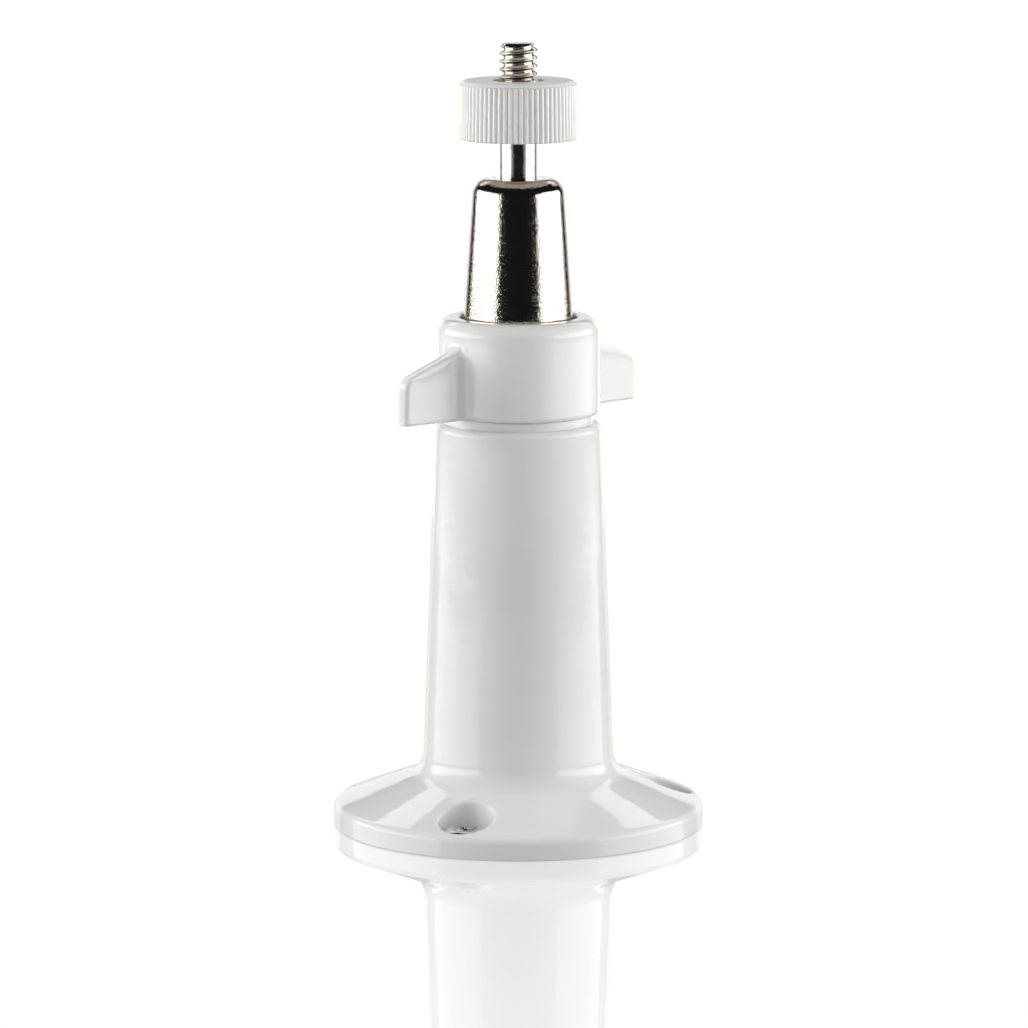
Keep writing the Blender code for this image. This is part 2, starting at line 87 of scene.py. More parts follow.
# Places and outer sizes, from the solids
CASTING_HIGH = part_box("pedestal")[1]
COLLAR_LOW, COLLAR_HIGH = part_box("wing_collar")
BELL_LOW, BELL_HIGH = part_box("swivel_bell")
BALL_LOW, BALL_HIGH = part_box("pivot_ball")
POST_LOW, POST_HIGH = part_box("pressure_post")
WASHER_LOW, WASHER_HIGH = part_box("thrust_washer")
STUD_LOW, STUD_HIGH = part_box("camera_stud")
NUT_LOW, NUT_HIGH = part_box("lock_nut")
INSERT_LOW, INSERT_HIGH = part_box("lock_nut_insert")
SCREW_NODES = sorted(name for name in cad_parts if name.startswith("mounting_screw"))
SCREW_TURNS = (25.0, 68.0, 10.0)  # degrees that the screws' recesses are turned by
BALL_CENTRE = BALL_LOW.z + BALL_HIGH.x


def length(name, description, default):
    """A size in metres."""
    return FloatProperty(name=name, description=description, default=default, unit="LENGTH",
                         precision=5)


def mm(name, description, size):
    """A size, given in millimetres and kept in metres."""
    return length(name, description, size * MM)


def angle(name, description, degrees):
    """An angle, given in degrees and kept in radians."""
    return FloatProperty(name=name, description=description, default=math.radians(degrees),
                         unit="ROTATION")


def amount(name, description, default):
    """A plain number."""
    return FloatProperty(name=name, description=description, default=default, precision=4)


def count(name, description, default):
    """A whole number."""
    return IntProperty(name=name, description=description, default=default, min=1)


def colour(name, description, default):
    """A linear colour."""
    return FloatVectorProperty(name=name, description=description, default=default, subtype="COLOR",
                               size=3, min=0.0, max=1.0)


class CastingSettings(bpy.types.PropertyGroup):
    """Sizes of the enamelled casting: foot, column and neck."""

    foot_radius: length("Foot radius", "Outer radius of the foot", CASTING_HIGH.x)
    wall_height: mm("Foot wall", "Height of the foot's upright wall", 2.5)
    edge_rounding: mm("Edge rounding", "Rounding between the wall and the cone", 1.4)
    foot_chamfer: mm("Foot chamfer", "Chamfer where the foot meets the surface", 0.3)
    cone_slope: angle("Cone slope", "Slope of the foot's cone", 21.0)
    column_radius: mm("Column radius", "Radius of the column at the height below", 15.4)
    column_height: mm("Height of the column radius", "Where the column radius holds", 12.0)
    column_draft: angle("Column draft", "Taper of the column on each side", 2.12)
    column_top: mm("Column top", "Height of the column's shoulder", 65.8)
    column_fillet: mm("Column fillet", "Fillet between the cone and the column", 4.2)
    shoulder_rounding: mm("Shoulder rounding", "Rounding at the column's top", 1.1)
    relief_radius: mm("Relief radius", "Radius of the plain neck below the thread", 12.05)
    relief_top: mm("Relief top", "Top of the plain neck", 68.6)
    neck_radius: mm("Neck radius", "Crest radius of the neck's thread", 11.3)
    neck_top: length("Neck top", "Height of the neck", CASTING_HIGH.z)
    neck_pitch: mm("Neck pitch", "Pitch of the neck's thread", 1.5)
    wall: mm("Casting wall", "Wall thickness over the hollow", 2.0)
    column_wall: mm("Column wall", "Wall thickness of the column", 2.5)
    rim_land: mm("Rim land", "Width of the ring that the foot stands on", 2.4)
    hollow_top: mm("Hollow top", "Closed end of the hollow", 62.0)
    spigot_radius: mm("Spigot hole radius", "Blind hole in the neck", 3.3)
    spigot_floor: mm("Spigot hole floor", "Floor of the blind hole", 69.2)


class ScrewSettings(bpy.types.PropertyGroup):
    """Sizes of the screw holes and of the screws in them."""

    counterbore_radius: mm("Counterbore radius", "Radius of the recess round a head", 4.4)
    counterbore_floor: mm("Counterbore floor", "Height of the recess's floor", 1.2)
    lip: mm("Lip rounding", "Rounding of the recess's lip in the enamel", 0.5)
    boss_radius: mm("Boss radius", "Radius of the boss inside the foot", 5.6)
    hole_radius: mm("Hole radius", "Radius of the screw hole", 2.15)
    shank_radius: mm("Shank radius", "Radius of the screw's shank", 1.75)
    head_lift: mm("Head lift", "How much taller the domed head is than its solid", 0.55)
    head_edge: mm("Head edge", "Rounding of the head's edge", 1.2)
    dish: mm("Head dish", "How far the top is dished about the recess", 0.15)
    cross_length: mm("Cross length", "Length of the driver recess's arms", 4.0)
    cross_width: mm("Cross width", "Width of the driver recess's arms", 0.95)
    cross_depth: mm("Cross depth", "Depth of the driver recess", 1.1)


class CollarSettings(bpy.types.PropertyGroup):
    """Sizes of the winged clamping collar."""

    radius: mm("Radius", "Outer radius of the collar's barrel", 13.2)
    top_rounding: mm("Top rounding", "Rounding of the barrel's top edge", 2.2)
    foot_rounding: mm("Foot rounding", "Rounding of the barrel's bottom edge", 0.8)
    opening: mm("Opening", "Radius of the opening that the bell comes out of", 9.43)
    lip_underside: mm("Lip underside", "Height of the lip's underside", 80.4)
    bore: mm("Bore", "Radius inside the barrel", 11.7)
    entry: mm("Entry", "Radius of the bore's entry", 12.4)
    entry_top: mm("Entry top", "Top of the bore's entry", 69.0)
    wing_azimuth: angle("Wing azimuth", "Direction of the first wing, from -Y towards +X", -49.5)
    wing_reach: mm("Wing reach", "Distance from the axis to a wing's tip", 24.4)
    wing_thickness: mm("Wing thickness", "Thickness of a wing at its edge", 2.4)
    wing_draft: mm("Wing draft", "How much thicker half a wing is at its root", 0.18)
    wing_tip: mm("Wing tip", "Height of a wing's outer corner before rounding", 74.61)
    wing_root: mm("Wing root", "Height at which a wing's top meets the barrel", 78.58)
    wing_corner: mm("Wing corner", "Rounding of a wing's outer corner", 2.0)
    wing_edge: mm("Wing edge", "Rounding of a wing's edges", 0.75)
    wing_fillet: mm("Wing fillet", "Fillet between a wing and the barrel", 1.7)


class BellSettings(bpy.types.PropertyGroup):
    """Sizes of the slotted bell."""

    top_radius: mm("Top radius", "Radius under the shoulder", 7.45)
    shoulder: mm("Shoulder rounding", "Rounding of the shoulder", 2.6)
    foot_radius: mm("Foot radius", "Radius above the flange", 8.8)
    foot_height: mm("Foot height", "Height at which the taper starts", 83.0)
    flange_top: mm("Flange top", "Top of the flange that the collar pulls on", 79.0)
    bore_radius: mm("Bore radius", "Radius of the bore at the bottom", 7.2)
    seat_radius: mm("Seat radius", "Radius of the ball's seat", 6.3)
    slot_half_width: mm("Slot half width", "Half the slot's width, and the top hole's radius", 3.4)
    edge: mm("Edge", "Softening of the slot's and flange's edges", 0.22)


class ClampSettings(bpy.types.PropertyGroup):
    """Sizes of the post that carries the ball and of the washer under the collar's lip."""

    cup_radius: mm("Cup radius", "Outer radius of the cup under the ball", 5.8)
    flange_top: mm("Flange top", "Top of the post's flange", 76.3)
    flange_foot: mm("Flange foot", "Underside of the post's flange", 75.3)
    pin_radius: mm("Pin radius", "Radius of the post's pin in the neck", 3.0)
    washer_opening: mm("Washer opening", "Radius of the hole in the washer", 9.1)
    washer_edge: mm("Washer edge", "Rounding of the washer's edges", 0.12)


class StudSettings(bpy.types.PropertyGroup):
    """Sizes of the ball, of the stud and of its thread."""

    ball_flat: length("Ball flat", "Height of the flat on the ball", BALL_HIGH.z)
    ball_bore: mm("Ball bore", "Radius of the bore for the stud's tail", 2.3)
    bore_floor: mm("Bore floor", "Floor of that bore", 95.2)
    tail_radius: mm("Tail radius", "Radius of the stud's tail", 2.0)
    shank_bottom: mm("Shank bottom", "Bottom of the smooth shank", 103.9)
    shank_radius: mm("Shank radius", "Radius of the smooth shank", 2.98)
    thread_bottom: mm("Thread bottom", "Height at which the thread starts", 111.9)
    thread_radius: length("Thread radius", "Crest radius of the 1/4 inch thread", STUD_HIGH.x)
    pitch: mm("Pitch", "Pitch of the thread, 20 to the inch", 1.27)
    thread_depth: mm("Thread depth", "Depth of the thread's groove", 0.72)
    end_chamfer: mm("End chamfer", "Chamfer at the stud's end", 0.75)


class NutSettings(bpy.types.PropertyGroup):
    """Sizes of the ribbed lock nut and of its threaded bush."""

    foot_radius: mm("Foot radius", "Radius of the nut's barrel at the bottom", 9.58)
    head_radius: mm("Head radius", "Radius of the nut's barrel at the top", 9.38)
    top_rounding: mm("Top rounding", "Rounding of the top edge", 1.0)
    foot_rounding: mm("Foot rounding", "Rounding of the bottom edge", 0.35)
    ribs: count("Ribs", "Number of ribs round the nut", 68)
    rib_depth: mm("Rib depth", "Depth of the grooves between ribs", 0.38)
    rib_fade: mm("Rib fade", "Height over which the grooves run out", 0.35)
    smooth_band: mm("Smooth band", "Height of the plain ring at the top", 0.5)
    mouth: mm("Mouth", "Radius of the opening over the bush", 4.0)
    mouth_depth: mm("Mouth depth", "Thickness of the lip over the bush", 0.5)
    pocket: mm("Pocket", "Radius of the pocket in the top", 4.7)
    pocket_floor: mm("Pocket floor", "Floor of the pocket", 111.95)
    hole: mm("Hole", "Radius of the hole for the stud", 3.4)
    bush_thread: mm("Bush thread", "Crest radius of the thread inside the bush", 3.2)
    bush_groove: mm("Bush groove", "Depth of the thread inside the bush", 0.5)
    bush_chamfer: mm("Bush chamfer", "Chamfer of the bush's outer edges", 0.2)


class FinishSettings(bpy.types.PropertyGroup):
    """Colours of the finishes."""

    enamel: colour("Enamel", "White stoved enamel on the casting and the collar", (0.80, 0.80, 0.785))
    chrome: colour("Chrome", "Plating on the bell", (0.70, 0.635, 0.56))
    nickel: colour("Nickel", "Plating on the ball and the stud", (0.74, 0.70, 0.64))
    zinc: colour("Zinc", "Plating on the screws", (0.78, 0.78, 0.77))
    plastic: colour("Plastic", "Moulded white plastic of the nut", (0.80, 0.785, 0.76))
    brass: colour("Brass", "Turned brass of the bush", (0.78, 0.58, 0.27))
    acetal: colour("Acetal", "Natural acetal of the post and the washer", (0.72, 0.71, 0.68))


class StudioSettings(bpy.types.PropertyGroup):
    """Camera, lights and floor."""

    camera_back: length("Camera distance", "Distance of the camera in front of the column", 0.92875)
    camera_height: length("Camera height", "Height of the camera", 0.20371)
    aim_height: length("Aim height", "Height that the camera looks at", 0.05069)
    camera_side: length("Camera side", "How far the camera and its aim stand to the left", 0.0007)
    lens: amount("Lens", "Focal length in millimetres, on a 36 mm sensor", 204.18)
    softbox_light: amount("Softboxes", "Radiance of the two side softboxes", 2.8)
    skirt_light: amount("Skirts", "Radiance of the room below the softboxes", 2.2)
    side_light: amount("Side fill", "Radiance of the narrow fill lights at both sides", 4.3)
    front_light: amount("Front fill", "Radiance of the fill light over the camera", 3.0)
    bar_light: amount("Back bar", "Radiance of the bar light high behind", 1.7)
    top_light: amount("Top light", "Radiance of the panel overhead", 1.3)
    backdrop_light: amount("Backdrop", "Radiance of the lit backdrop", 1.08)
    room_light: amount("Room", "Radiance of the rest of the room", 0.01)
    floor_white: amount("Floor white", "Radiance of the floor as the camera sees it", 0.98)
    floor_glow: amount("Floor glow", "Radiance that the floor throws up on to the mount", 0.55)
    floor_radius: length("Floor radius", "Radius of the round floor", 0.33)
    mirror_near: amount("Mirror near", "Share of the floor's light that is reflected, at the foot", 0.46)
    mirror_far: amount("Mirror far", "The same share at the front of the floor", 0.25)


def rounded(corners, closed=False):
    """An outline in the (radius, height) plane; each corner is (radius, height, rounding)."""
    points = []
    for index, (radius, height, rounding) in enumerate(corners):
        here = Vector((radius, height))
        end = not closed and index in (0, len(corners) - 1)
        if end or rounding <= 0.0:
            points.append(here)
            continue
        before = (Vector(corners[index - 1][:2]) - here).normalized()
        after = (Vector(corners[(index + 1) % len(corners)][:2]) - here).normalized()
        half = before.angle(after) / 2
        centre = here + (before + after).normalized() * rounding / math.sin(half)
        spoke = here + before * rounding / math.tan(half) - centre
        turn = math.copysign(math.pi - 2 * half, -before.cross(after))
        steps = max(2, math.ceil(abs(turn) / ROUND_STEP))
        points += [centre + Matrix.Rotation(turn * step / steps, 2) @ spoke
                   for step in range(steps + 1)]
    return points


def refined(points, step):
    """The same outline, with no stretch longer than step."""
    made = [points[0]]
    for point in points[1:]:
        pieces = max(1, math.ceil((point - made[-1]).length / step))
        start = made[-1]
        made += [start.lerp(point, piece / pieces) for piece in range(1, pieces + 1)]
    return made


def across(outline, height):
    """The radius of a rising outline at a height."""
    if height <= outline[0].y:
        return outline[0].x
    for low, high in zip(outline, outline[1:]):
        if low.y <= height <= high.y and high.y > low.y:
            return low.x + (high.x - low.x) * (height - low.y) / (high.y - low.y)
    return outline[-1].x


def finish_mesh(build, name, sharp=SHARP):
    """Turns a bmesh into an object that is shaded smooth apart from its sharp edges."""
    bmesh.ops.remove_doubles(build, verts=build.verts, dist=WELD)
    bmesh.ops.dissolve_degenerate(build, edges=build.edges, dist=WELD)
    bmesh.ops.recalc_face_normals(build, faces=build.faces)
    mesh = bpy.data.meshes.new(name)
    build.to_mesh(mesh)
    build.free()
    made = bpy.data.objects.new(name, mesh)
    bpy.context.scene.collection.objects.link(made)
    shade(made, sharp)
    return made


def shade(piece, sharp=SHARP):
    """Smooth shading with sharp edges, weighted so that flat faces stay flat."""
    piece.data.shade_smooth()
    piece.data.set_sharp_from_angle(angle=math.radians(sharp))
    weighted = piece.modifiers.new("flat faces", "WEIGHTED_NORMAL")
    weighted.keep_sharp = True


def lofted(name, rings, closed=True, sharp=SHARP):
    """A skin over rings that run round in step; closed joins the last ring to the first."""
    build = bmesh.new()
    loops = [[build.verts.new(point) for point in points] for points in rings]
    pairs = list(zip(loops, loops[1:]))
    if closed:
        pairs.append((loops[-1], loops[0]))
    for one, other in pairs:
        for index in range(len(one)):
            following = (index + 1) % len(one)
            build.faces.new((one[index], one[following], other[following], other[index]))
    return finish_mesh(build, name, sharp)


def turned(name, outline, steps, closed=False):
    """An outline of (radius, height) points spun once round the axis."""
    build = bmesh.new()
    verts = [build.verts.new((point[0], 0.0, point[1])) for point in outline]
    edges = [build.edges.new(pair) for pair in zip(verts, verts[1:])]
    if closed:
        edges.append(build.edges.new((verts[-1], verts[0])))
    bmesh.ops.spin(build, geom=verts + edges, cent=(0, 0, 0), axis=(0, 0, 1), angle=math.tau,
                   steps=steps, use_merge=True)
    return finish_mesh(build, name)


def cut_out(piece, cutter):
    """Takes a cutter's shape out of a piece and removes the cutter."""
    step = piece.modifiers.new("cut", "BOOLEAN")
    step.operation = "DIFFERENCE"
    step.solver = "EXACT"
    step.object = cutter
    piece.modifiers.remove(piece.modifiers["flat faces"])
    whole = piece.evaluated_get(bpy.context.evaluated_depsgraph_get())
    made = bpy.data.meshes.new_from_object(whole)
    piece.modifiers.clear()
    piece.data = made
    shade(piece)
    bpy.data.objects.remove(cutter, do_unlink=True)


def ring(radius, height, steps, x=0.0, y=0.0):
    """A level circle of points."""
    turns = [math.tau * step / steps for step in range(steps)]
    return [Vector((x + radius * math.cos(t), y + radius * math.sin(t), height)) for t in turns]


def arc(centre_height, radius, start, stop, steps):
    """(radius, height) points round a ball that is centred on the axis."""
    turns = [start + (stop - start) * step / steps for step in range(steps + 1)]
    return [Vector((radius * math.cos(a), centre_height + radius * math.sin(a))) for a in turns]


def groove(height, turn, pitch, depth):
    """Depth under the crest of a right-hand 60 degree thread, at a height and an angle round it.

    The flat at the bottom of the groove and the flat on the crest are each an eighth of the pitch.
    """
    place = (height / pitch - turn / math.tau) % 1.0
    slope = (7 / 16 - abs(place - 0.5)) / (6 / 16)
    return depth * min(1.0, max(0.0, slope))


def thread_rings(low, high, levels, steps, pitch, depth, radius_for):
    """Rings up a thread; radius_for gives a point's radius from its height and its depth of groove."""
    rings = []
    for level in range(levels + 1):
        height = low + (high - low) * level / levels
        points = ring(1.0, height, steps)
        for point in points:
            cut = groove(height, math.atan2(point.y, point.x), pitch, depth)
            point.xy = point.xy * radius_for(height, cut)
        rings.append(points)
    return rings


def seat(piece, body, node, material):
    """Puts a piece on its body, in place of its solid, with its finish."""
    piece.data.materials.clear()
    piece.data.materials.append(material)
    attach(piece, body)
    if node:
        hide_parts(node)


# Finishes


# The gloss is a noise scale with the lowest and highest roughness, the tint is a noise scale with the
# share that the colour wanders by, and a relief is a noise scale, a height and its detail.
FINISHES = {
    # Stoved enamel: glossy, with a faint orange peel
    "stoved_enamel": {"colour": "enamel", "metallic": 0.0, "roughness": 0.05,
                      "gloss": (220.0, 0.02, 0.05), "tint": (60.0, 0.012),
                      "reliefs": [(560.0, 0.02 * MM, 0.0)]},
    # Plating over a die-cast surface, whose fine grain breaks up the edges of reflections
    "chrome_plate": {"colour": "chrome", "metallic": 1.0, "roughness": 0.1,
                     "gloss": (500.0, 0.07, 0.13),
                     "reliefs": [(900.0, 0.006 * MM, 0.0), (4400.0, 0.026 * MM, 0.0)]},
    # Nickel on turned steel
    "nickel_plate": {"colour": "nickel", "metallic": 1.0, "roughness": 0.14,
                     "gloss": (900.0, 0.10, 0.18), "reliefs": [(4400.0, 0.014 * MM, 0.0)]},
    # Zinc on a pressed screw
    "zinc_plate": {"colour": "zinc", "metallic": 1.0, "roughness": 0.2,
                   "gloss": (1500.0, 0.14, 0.26), "tint": (700.0, 0.06),
                   "reliefs": [(2500.0, 0.004 * MM, 2.0)]},
    # Moulded plastic with a fine satin texture
    "moulded_plastic": {"colour": "plastic", "metallic": 0.0, "roughness": 0.42,
                        "gloss": (800.0, 0.38, 0.5), "tint": (120.0, 0.015),
                        "reliefs": [(3200.0, 0.006 * MM, 2.0)]},
    "turned_brass": {"colour": "brass", "metallic": 1.0, "roughness": 0.25,
                     "gloss": (1500.0, 0.18, 0.32), "tint": (300.0, 0.05), "reliefs": []},
    # Natural acetal, a little waxy
    "natural_acetal": {"colour": "acetal", "metallic": 0.0, "roughness": 0.5,
                       "gloss": (900.0, 0.4, 0.55), "tint": (150.0, 0.02), "reliefs": []},
}
NOISE_SPAN = (0.3, 0.7)  # the part of a noise's range that the gloss follows
TINT_SPAN = (0.35, 0.65)  # the part that the colour follows


def add_node(tree, kind, inputs):
    """A shader node; each input gets its value, or a link where it is given a socket."""
    node = tree.nodes.new(f"ShaderNode{kind}")
    for name, value in inputs.items():
        if isinstance(value, bpy.types.NodeSocket):
            tree.links.new(value, node.inputs[name])
        else:
            node.inputs[name].default_value = value
    return node


def noise_of(tree, scale, detail=2.0):
    """A noise on the piece's own coordinates."""
    place = tree.nodes["place"].outputs["Object"]
    noise = add_node(tree, "TexNoise", {"Scale": scale, "Detail": detail, "Vector": place})
    return noise.outputs["Fac"]


def vary_colour(tree, shader, base, scale, spread):
    """Lets the colour wander by a small share."""
    ramp = add_node(tree, "ValToRGB", {"Fac": noise_of(tree, scale, 4.0)})
    low, high = ramp.color_ramp.elements
    low.position, high.position = TINT_SPAN
    low.color = (*[part * (1.0 - spread) for part in base], 1.0)
    high.color = (*[min(1.0, part * (1.0 + spread)) for part in base], 1.0)
    tree.links.new(ramp.outputs["Color"], shader.inputs["Base Color"])


def vary_roughness(tree, shader, scale, low, high):
    """Lets the gloss wander a little over the surface."""
    spread = add_node(tree, "MapRange", {"From Min": NOISE_SPAN[0], "From Max": NOISE_SPAN[1],
                                         "To Min": low, "To Max": high, "Value": noise_of(tree, scale)})
    tree.links.new(spread.outputs["Result"], shader.inputs["Roughness"])


def emboss(tree, shader, scale, height, detail):
    """Adds a relief of a real height; called again, the reliefs add up."""
    bump = add_node(tree, "Bump", {"Distance": height, "Height": noise_of(tree, scale, detail)})
    earlier = shader.inputs["Normal"].links
    if earlier:
        tree.links.new(earlier[0].from_socket, bump.inputs["Normal"])
    tree.links.new(bump.outputs["Normal"], shader.inputs["Normal"])


def finish_for(context, name):
    """One of the finishes, made the first time that it is asked for."""
    if name in bpy.data.materials:
        return bpy.data.materials[name]
    finish = FINISHES[name]
    base = tuple(getattr(context.scene.mount_finishes, finish["colour"]))
    material = bpy.data.materials.new(name)
    material.use_nodes = True
    tree = material.node_tree
    shader = tree.nodes["Principled BSDF"]
    shader.inputs["Base Color"].default_value = (*base, 1.0)
    shader.inputs["Metallic"].default_value = finish["metallic"]
    shader.inputs["Roughness"].default_value = finish["roughness"]
    tree.nodes.new("ShaderNodeTexCoord").name = "place"
    if "tint" in finish:
        vary_colour(tree, shader, base, *finish["tint"])
    vary_roughness(tree, shader, *finish["gloss"])
    for relief in finish["reliefs"]:
        emboss(tree, shader, *relief)
    return material


# Casting


def cone_corner(casting):
    """Where the foot's upright wall and its cone would meet without the rounding."""
    up = math.pi / 2 - casting.cone_slope
    height = casting.wall_height + casting.edge_rounding * math.tan(up / 2)
    return casting.foot_radius, height


def cone_height(casting, radius):
    """Height of the cone at a radius."""
    corner_radius, corner_height = cone_corner(casting)
    return corner_height + (corner_radius - radius) * math.tan(casting.cone_slope)


def column_radius(casting, height):
    """Radius of the column at a height."""
    return casting.column_radius - (height - casting.column_height) * math.tan(casting.column_draft)


def column_foot(casting):
    """Where the column and the cone would meet without the fillet."""
    height = casting.column_height
    for _ in range(20):
        height = cone_height(casting, column_radius(casting, height))
    return column_radius(casting, height), height


def neck_core(casting):
    """Radius of the neck under its thread."""
    return casting.neck_radius - NECK_THREAD


def casting_outline(casting):
    """Outside of the casting, from the middle of the neck's top to the middle of the underside."""
    foot, rise = column_foot(casting)
    core = neck_core(casting)
    corners = [
        (0.0, casting.neck_top, 0.0),
        (core, casting.neck_top, 0.2 * MM),
        (core, casting.relief_top, 0.0),
        (casting.relief_radius, casting.relief_top, 0.3 * MM),
        (casting.relief_radius, casting.column_top, 0.15 * MM),
        (column_radius(casting, casting.column_top), casting.column_top, casting.shoulder_rounding),
        (foot, rise, casting.column_fillet),
        (*cone_corner(casting), casting.edge_rounding),
        (casting.foot_radius, 0.0, casting.foot_chamfer),
        (0.0, 0.0, 0.0),
    ]
    return refined(rounded(corners), 1.6 * MM)


def hollow_outline(casting):
    """Core of the hollow, from its closed top down past the underside."""
    drop = casting.wall / math.cos(casting.cone_slope)
    knee = column_radius(casting, casting.column_height) - casting.column_wall
    rim = casting.foot_radius - casting.rim_land
    corners = [
        (0.0, casting.hollow_top, 0.0),
        (column_radius(casting, casting.hollow_top) - casting.column_wall, casting.hollow_top,
         2.0 * MM),
        (knee, cone_height(casting, knee) - drop, 2.0 * MM),
        (rim, cone_height(casting, rim) - drop, 0.5 * MM),
        (rim, -PAST, 0.0),
        (0.0, -PAST, 0.0),
    ]
    return rounded(corners)


def neck_thread(casting):
    """The thread that the collar screws on to, as a sleeve on the neck."""
    steps, levels = 120, 72
    core = neck_core(casting)
    depth = casting.neck_radius - core - 0.05 * MM
    bottom, top = casting.relief_top, casting.neck_top - 0.25 * MM
    inside = core - 0.3 * MM

    def radius_for(height, cut):
        lead = min(1.0, (height - bottom) / casting.neck_pitch, (top - height) / casting.neck_pitch * 2)
        return casting.neck_radius - depth + (depth - cut) * max(0.05, lead)

    rings = [ring(inside, bottom, steps)]
    rings += thread_rings(bottom, top, levels, steps, casting.neck_pitch, depth, radius_for)
    rings.append(ring(inside, top, steps))
    return lofted("neck_thread", rings)


def counterbore(casting, screws, x, y):
    """Cutter for a screw's recess, flared at the top so that it leaves a rounded lip on the cone."""
    steps = 96
    radius, lip, floor = screws.counterbore_radius, screws.lip, screws.counterbore_floor
    rings = [ring(0.0, floor, steps, x, y), ring(radius, floor, steps, x, y)]
    for share in (0.0, 0.04, 0.12, 0.25, 0.42, 0.62, 0.85):
        points = ring(radius + lip * share, 0.0, steps, x, y)
        for point in points:
            below = lip * (1.0 - math.sqrt(1.0 - (1.0 - share) ** 2))
            point.z = cone_height(casting, point.xy.length) - below
        rings.append(points)
    points = ring(radius + lip * 1.15, 0.0, steps, x, y)
    for point in points:
        point.z = cone_height(casting, point.xy.length) + lip
    rings += [points, ring(0.0, 4 * radius, steps, x, y)]
    return lofted("counterbore_cutter", rings, closed=False)


def upright(name, radius, bottom, top, x=0.0, y=0.0):
    """A round cutter."""
    sizes = ((0.0, bottom), (radius, bottom), (radius, top), (0.0, top))
    return lofted(name, [ring(size, height, 64, x, y) for size, height in sizes], closed=False)


def screw_middle(node):
    """Where a screw stands."""
    low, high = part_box(node)
    return (low.x + high.x) / 2, (low.y + high.y) / 2


class MOUNT_OT_casting(bpy.types.Operator):
    """Builds the enamelled casting with its three counterbored holes and its threaded neck"""

    bl_idname = "mount.casting"
    bl_label = "Casting"

    def execute(self, context):
        casting = context.scene.mount_casting
        screws = context.scene.mount_screws
        enamel = finish_for(context, "stoved_enamel")
        piece = turned("enamelled_casting", casting_outline(casting), 192)
        hollow = turned("hollow_core", hollow_outline(casting), 128)
        places = [screw_middle(node) for node in SCREW_NODES]
        for x, y in places:
            cut_out(hollow, upright("boss", screws.boss_radius, -2 * PAST, casting.column_height, x, y))
        cut_out(piece, hollow)
        for x, y in places:
            cut_out(piece, counterbore(casting, screws, x, y))
            top = screws.counterbore_floor + PAST
            cut_out(piece, upright("hole", screws.hole_radius, -PAST, top, x, y))
        top = casting.neck_top + PAST
        cut_out(piece, upright("spigot", casting.spigot_radius, casting.spigot_floor, top))
        seat(piece, "pedestal", "pedestal", enamel)
        seat(neck_thread(casting), "pedestal", None, enamel)
        return {"FINISHED"}


# Mounting screws


def blade_cutter(screws, x, y, top, turn):
    """Cutter for one of the driver recess's two arms, which narrows downwards."""
    build = bmesh.new()
    for corner in bmesh.ops.create_cube(build, size=1.0)["verts"]:
        narrow = ARM_TAPER if corner.co.z < 0 else 1.0
        corner.co = Vector((corner.co.x * screws.cross_width * narrow,
                            corner.co.y * screws.cross_length * narrow,
                            corner.co.z * 2 * screws.cross_depth))
    spin = Matrix.Translation((x, y, top)) @ Matrix.Rotation(turn, 4, "Z")
    bmesh.ops.transform(build, matrix=spin, verts=build.verts)
    return finish_mesh(build, "blade_cutter")


def screw_outline(screws, node, radius):
    """Outside of a screw, from the middle of its dished head down to the end of its shank."""
    low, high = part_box(node)
    seat_height = screws.counterbore_floor + low.z
    crown = high.z + screws.head_lift
    return rounded([
        (0.0, crown - screws.dish, 0.0),
        (radius * 0.3, crown - screws.dish, 0.6 * MM),
        (radius * 0.55, crown, 0.6 * MM),
        (radius, crown, screws.head_edge),
        (radius, seat_height, 0.1 * MM),
        (screws.shank_radius, seat_height, 0.0),
        (screws.shank_radius, low.z, 0.1 * MM),
        (0.0, low.z, 0.0),
    ])


class MOUNT_OT_screws(bpy.types.Operator):
    """Builds the three pan-head screws in the foot"""

    bl_idname = "mount.screws"
    bl_label = "Mounting Screws"

    def execute(self, context):
        screws = context.scene.mount_screws
        zinc = finish_for(context, "zinc_plate")
        for node, turn in zip(SCREW_NODES, SCREW_TURNS):
            x, y = screw_middle(node)
            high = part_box(node)[1]
            piece = turned(f"{node}_head", screw_outline(screws, node, high.x - x), 72)
            piece.data.transform(Matrix.Translation((x, y, 0.0)))
            for arm in (0.0, 90.0):
                crown = high.z + screws.head_lift
                cut_out(piece, blade_cutter(screws, x, y, crown, math.radians(turn + arm)))
            seat(piece, "pedestal", node, zinc)
        return {"FINISHED"}


# Winged collar


def fin_half(collar, protrusion, half):
    """Half a wing's level section from its middle to the barrel, as (sideways, outwards) points."""
    edge, fillet = collar.wing_edge, collar.wing_fillet
    shortest = edge + fillet + 0.6 * MM
    reach = max(protrusion, shortest)
    root = half + collar.wing_draft
    points = [(0.0, reach), ((half - edge) / 2, reach)]
    edge_steps, side_steps, fillet_steps = 6, 14, 10
    for step in range(edge_steps + 1):
        a = math.pi / 2 * step / edge_steps
        points.append((half - edge + edge * math.sin(a), reach - edge + edge * math.cos(a)))
    for step in range(1, side_steps):
        share = step / side_steps
        points.append((half + collar.wing_draft * share, (reach - edge) * (1 - share) + fillet * share))
    for step in range(fillet_steps + 1):
        a = math.pi / 2 * step / fillet_steps
        points.append((root + fillet - fillet * math.cos(a), fillet - fillet * math.sin(a)))
    squash = min(1.0, protrusion / shortest)
    return [(sideways, outwards * squash) for sideways, outwards in points]


